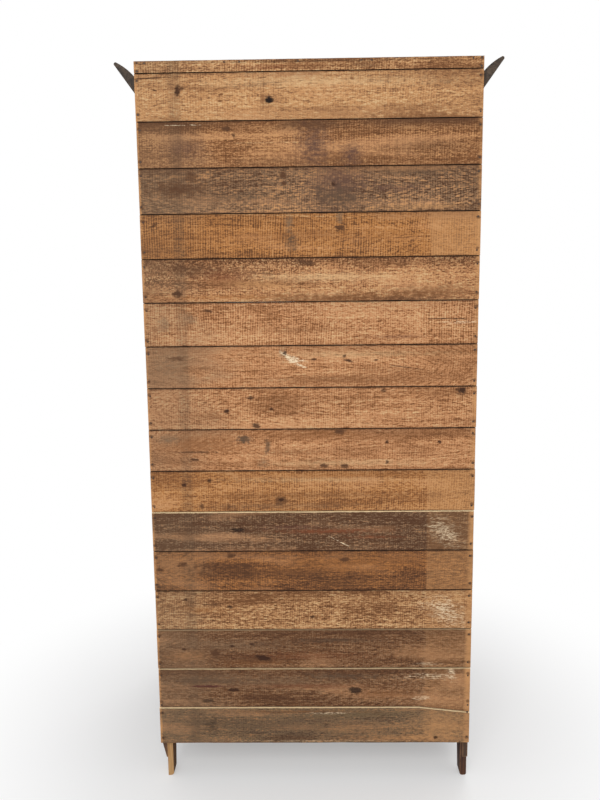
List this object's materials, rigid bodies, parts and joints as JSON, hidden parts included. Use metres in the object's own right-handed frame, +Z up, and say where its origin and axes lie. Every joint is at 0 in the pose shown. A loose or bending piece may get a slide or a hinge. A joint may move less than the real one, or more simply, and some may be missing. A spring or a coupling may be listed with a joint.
{
  "type": "telephone booth",
  "caption": "Tall wooden booth for a wall telephone, with a boarded back, framed sides, a sprung crown on three sides and a glazed door that folds inwards.",
  "frame": {"origin": "on the ground, under the middle of the bounding box", "axes": "+Z up, -Y out of the front where the door is, +Y out of the boarded back, +X to the right seen from the front"},
  "size_m": [1.083, 0.879, 2.1594],
  "materials": {
    "back_pine": "sawn, weathered, unfinished",
    "top_strip_pine": "sawn, weathered, unfinished",
    "stained_wood": "dark brown stain and worn varnish",
    "raw_pine": "planed, unfinished",
    "aged_brass": "aged",
    "dark_iron": "dark, handled",
    "clear_glass": "clear plate"
  },
  "bodies": {
    "booth": {"back_board_01": "back_pine", "back_board_02": "back_pine", "back_board_03": "back_pine", "back_board_04": "back_pine", "back_board_05": "back_pine", "back_board_06": "back_pine", "back_board_07": "back_pine", "back_board_08": "back_pine", "back_board_09": "back_pine", "back_board_10": "back_pine", "back_board_11": "back_pine", "back_board_12": "back_pine", "back_board_13": "back_pine", "back_board_14": "back_pine", "back_board_15": "back_pine", "back_board_16": "back_pine", "back_top_strip": "top_strip_pine", "side_left_rear_stile": "stained_wood", "side_left_bottom_rail": "stained_wood", "side_left_middle_rail": "stained_wood", "side_left_top_rail": "stained_wood", "side_left_lower_panel": "stained_wood", "side_left_upper_panel": "stained_wood", "side_right_rear_stile": "stained_wood", "side_right_bottom_rail": "stained_wood", "side_right_middle_rail": "stained_wood", "side_right_top_rail": "stained_wood", "side_right_lower_panel": "stained_wood", "side_right_upper_panel": "stained_wood", "front_post_left": "stained_wood", "front_post_right": "stained_wood", "crown_left": "stained_wood", "crown_right": "stained_wood", "crown_front": "stained_wood", "frieze_board": "stained_wood", "front_sill": "stained_wood", "corner_seat": "stained_wood", "directory_shelf": "stained_wood", "telephone_backboard": "stained_wood", "leg_rear_left": "stained_wood", "leg_front_left": "raw_pine", "leg_front_right": "raw_pine", "leg_rear_right": "raw_pine", "floor": "raw_pine", "roof": "raw_pine", "track_front_rail": "raw_pine", "track_rear_rail": "raw_pine", "jamb_hinge_post_leaf": "aged_brass"},
    "door_leaf_left": {"door_left_frame": "stained_wood", "door_left_glass": "clear_glass", "door_left_panel": "stained_wood", "jamb_hinge_door_leaf": "aged_brass", "fold_hinge_left_leaf": "aged_brass"},
    "door_leaf_right": {"door_right_frame": "stained_wood", "door_right_glass": "clear_glass", "door_right_panel": "stained_wood", "fold_hinge_right_leaf": "aged_brass", "door_knobs": "aged_brass", "door_guide_strap": "dark_iron", "door_guide_pin": "dark_iron"}
  },
  "joints": [
    {"name": "door_fold", "type": "hinge", "parent": "booth", "child": "door_leaf_left", "pos_m": [-0.411, -0.34, 1.05], "axis": [0, 0, 1], "range_deg": [0, 85]},
    {"name": "leaf_fold", "type": "hinge", "parent": "door_leaf_left", "child": "door_leaf_right", "pos_m": [-0.00626, -0.377, 1.05], "axis": [0, 0, 1], "range_deg": [-170, 0]}
  ],
  "couplings": [
    {"joint": "leaf_fold", "follows": "door_fold", "ratio": -2}
  ]
}
